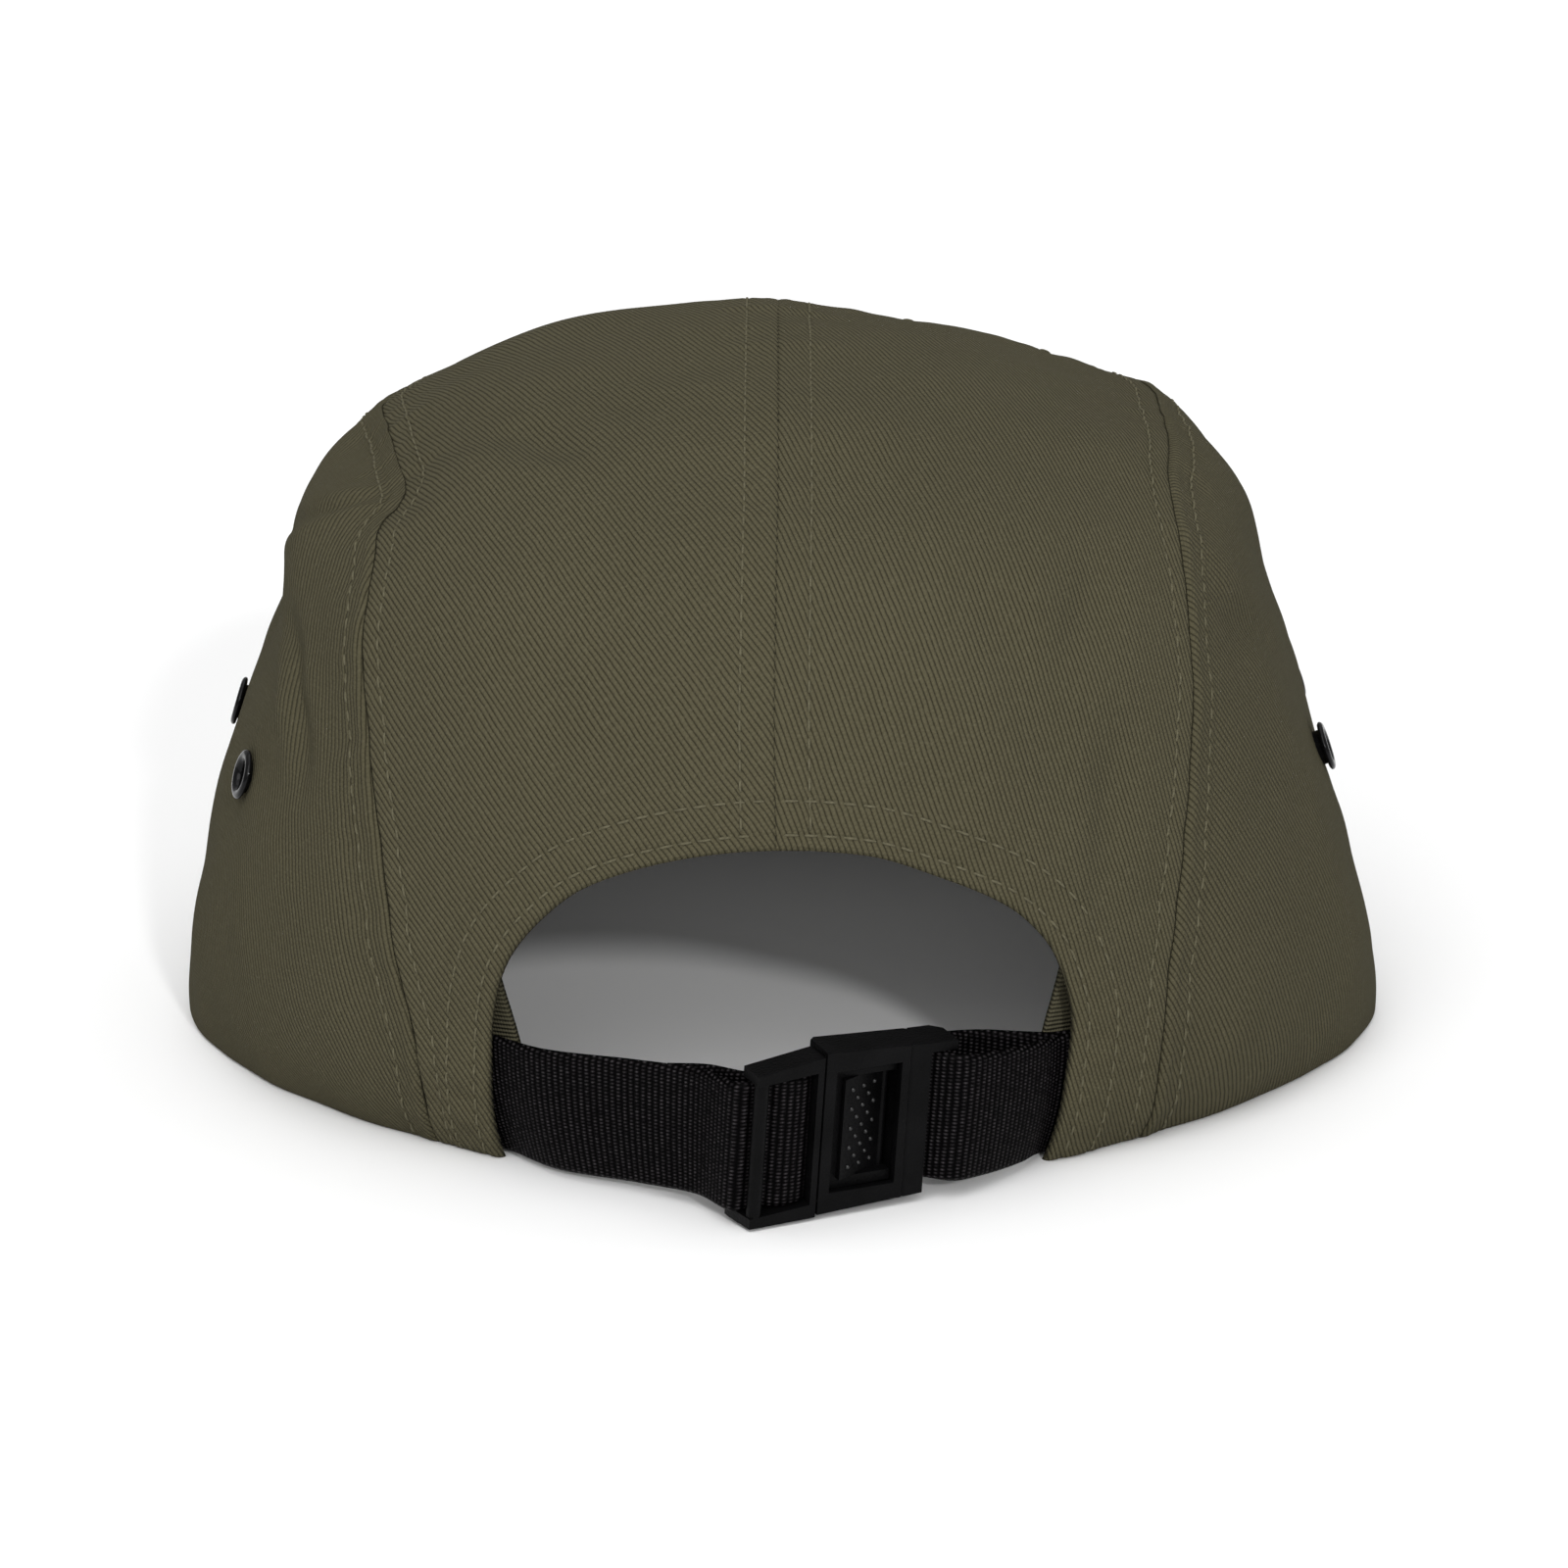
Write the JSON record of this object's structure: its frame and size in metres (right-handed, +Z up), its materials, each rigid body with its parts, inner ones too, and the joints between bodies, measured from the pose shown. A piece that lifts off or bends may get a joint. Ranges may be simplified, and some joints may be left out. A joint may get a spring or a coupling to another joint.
{
  "type": "five panel cap",
  "caption": "Low soft five panel cap with a flat peak, inner sweatband, arched back opening and a webbing strap closed by a plastic clip.",
  "frame": {"origin": "middle of the cap's box, on the surface that it rests on", "axes": "+Z up, +Y from the strap towards the peak, +X to the wearer's right"},
  "size_m": [0.1892, 0.2572, 0.1082],
  "materials": {
    "twill": "matte cotton twill, olive",
    "band": "fine ribbed tape, olive",
    "webbing": "woven nylon webbing, black",
    "clip": "fine grained black plastic",
    "eyelet": "glossy black metal"
  },
  "bodies": {
    "root": {"front_panel": "twill", "side_panel_left": "twill", "side_panel_right": "twill", "back_panel_left": "twill", "back_panel_right": "twill", "peak": "twill", "sweatband": "band", "strap_left": "webbing", "strap_right": "webbing", "buckle_female": "clip", "buckle_male": "clip", "eyelet_left_rear": "eyelet", "eyelet_left_front": "eyelet", "eyelet_right_rear": "eyelet", "eyelet_right_front": "eyelet"}
  },
  "joints": []
}
